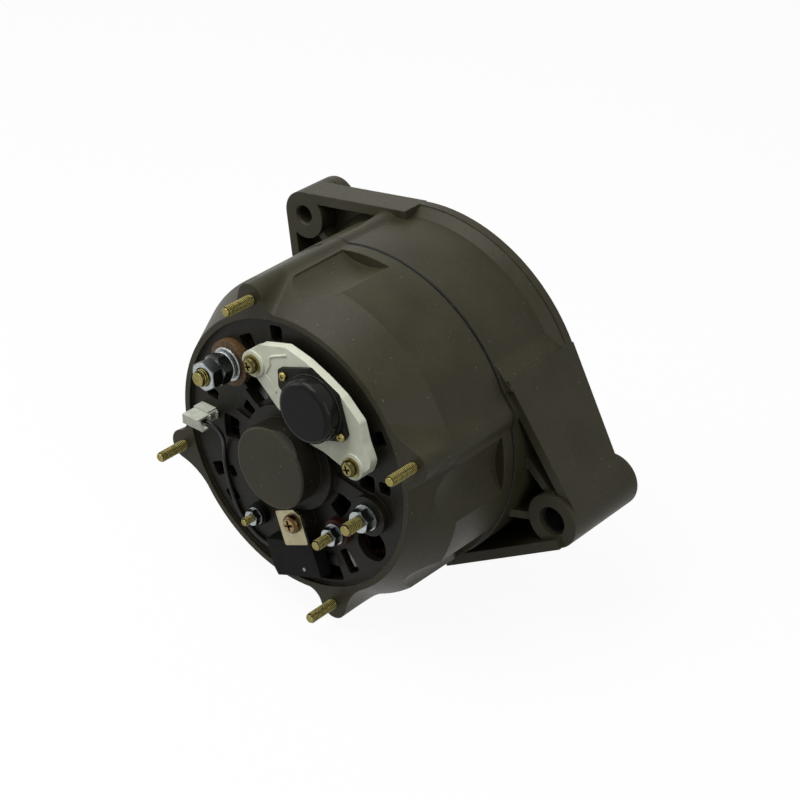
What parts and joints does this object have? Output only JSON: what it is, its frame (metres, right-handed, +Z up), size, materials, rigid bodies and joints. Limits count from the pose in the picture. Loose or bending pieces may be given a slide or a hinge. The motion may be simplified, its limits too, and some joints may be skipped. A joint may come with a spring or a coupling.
{
  "type": "generator alternator head",
  "caption": "Air-cooled claw-pole alternator head with cast brackets, pivot and adjusting lugs, rear terminals, brush holder with regulator, and a free shaft end for a pulley.",
  "frame": {"origin": "on the shaft axis at the shoulder the pulley seats against", "axes": "+Y along the shaft out of the drive end, +Z up, +X to the right seen from the rear, towards the pivot lug"},
  "size_m": [0.1959, 0.181, 0.1674],
  "materials": {
    "casting_paint": "satin dark olive-brown paint on cast aluminium",
    "yellow_zinc": "yellow-passivated zinc plate",
    "bright_zinc": "bright zinc plate",
    "steel": "ground steel",
    "pole_steel": "dark impregnated steel",
    "lamination": "stacked steel sheet",
    "copper": "enamelled copper",
    "black_plastic": "moulded black plastic",
    "white_plastic": "off-white moulded plastic",
    "gloss_black": "gloss black cap",
    "black_metal": "black coated plate",
    "brown_insulator": "brown laminated insulator",
    "red_insulator": "dark red insulator",
    "bare_aluminium": "bare cast aluminium",
    "cream_zinc": "pale plated sheet",
    "cable_black": "black insulated wire",
    "carbon": "pressed carbon"
  },
  "bodies": {
    "housing": {"rear_bracket": "casting_paint", "drive_end_bracket": "casting_paint", "through_bolts": "yellow_zinc", "pivot_bush": "steel", "stator_core": "lamination", "stator_winding": "copper", "front_bearing_outer": "steel", "rear_bearing_outer": "steel", "bearing_retainer": "steel", "retainer_screws": "yellow_zinc", "brush_holder": "white_plastic", "holder_screws": "yellow_zinc", "holder_washers": "yellow_zinc", "brush_spring_a": "steel", "brush_spring_b": "steel", "regulator_plate": "black_metal", "regulator_cap": "gloss_black", "regulator_screws": "yellow_zinc", "battery_stud": "yellow_zinc", "battery_insulator": "brown_insulator", "battery_washers": "bright_zinc", "battery_nuts": "bright_zinc", "ground_stud": "yellow_zinc", "ground_nut": "bright_zinc", "phase_stud": "yellow_zinc", "phase_insulator": "red_insulator", "phase_nut": "bright_zinc", "lamp_stud": "yellow_zinc", "lamp_insulator": "black_plastic", "lamp_nut": "bright_zinc", "rectifier_plate_negative": "bare_aluminium", "rectifier_plate_positive": "bare_aluminium", "diodes": "bright_zinc", "rectifier_spacers": "red_insulator", "rectifier_screws": "yellow_zinc", "capacitor_tab": "cream_zinc", "capacitor_box": "black_plastic", "capacitor_screw": "yellow_zinc", "capacitor_lead": "cable_black", "lead_connector": "white_plastic"},
    "rotor": {"rotor_shaft": "steel", "pole_half_rear": "pole_steel", "pole_half_front": "pole_steel", "coil_bobbin": "black_plastic", "field_coil": "copper", "slip_rings": "copper", "slip_ring_insulator": "black_plastic", "front_bearing_inner": "steel", "rear_bearing_inner": "steel", "rotor_spacer": "steel", "fan_spacer": "steel", "pulley_spacer": "steel", "cooling_fan": "casting_paint"},
    "front_cage": {"front_bearing_balls": "steel"},
    "rear_cage": {"rear_bearing_balls": "steel"},
    "brush_a": {"brush_a": "carbon"},
    "brush_b": {"brush_b": "carbon"}
  },
  "joints": [
    {"name": "rotor_spin", "type": "hinge", "parent": "housing", "child": "rotor", "pos_m": [0, 0, 0], "axis": [0, 1, 0], "continuous": true},
    {"name": "front_cage_spin", "type": "hinge", "parent": "housing", "child": "front_cage", "pos_m": [0, 0, 0], "axis": [0, 1, 0], "continuous": true},
    {"name": "rear_cage_spin", "type": "hinge", "parent": "housing", "child": "rear_cage", "pos_m": [0, 0, 0], "axis": [0, 1, 0], "continuous": true},
    {"name": "brush_a_slide", "type": "slide", "parent": "housing", "child": "brush_a", "axis": [0.5195, 0, 0.8545], "range_m": [0, 0.005], "stiffness_N_per_m": 200, "springref_m": -0.01, "deforming": ["brush_spring_a"]},
    {"name": "brush_b_slide", "type": "slide", "parent": "housing", "child": "brush_b", "axis": [0.5195, 0, 0.8545], "range_m": [0, 0.005], "stiffness_N_per_m": 200, "springref_m": -0.01, "deforming": ["brush_spring_b"]}
  ],
  "couplings": [
    {"joint": "front_cage_spin", "follows": "rotor_spin", "ratio": 0.37812},
    {"joint": "rear_cage_spin", "follows": "rotor_spin", "ratio": 0.388}
  ]
}
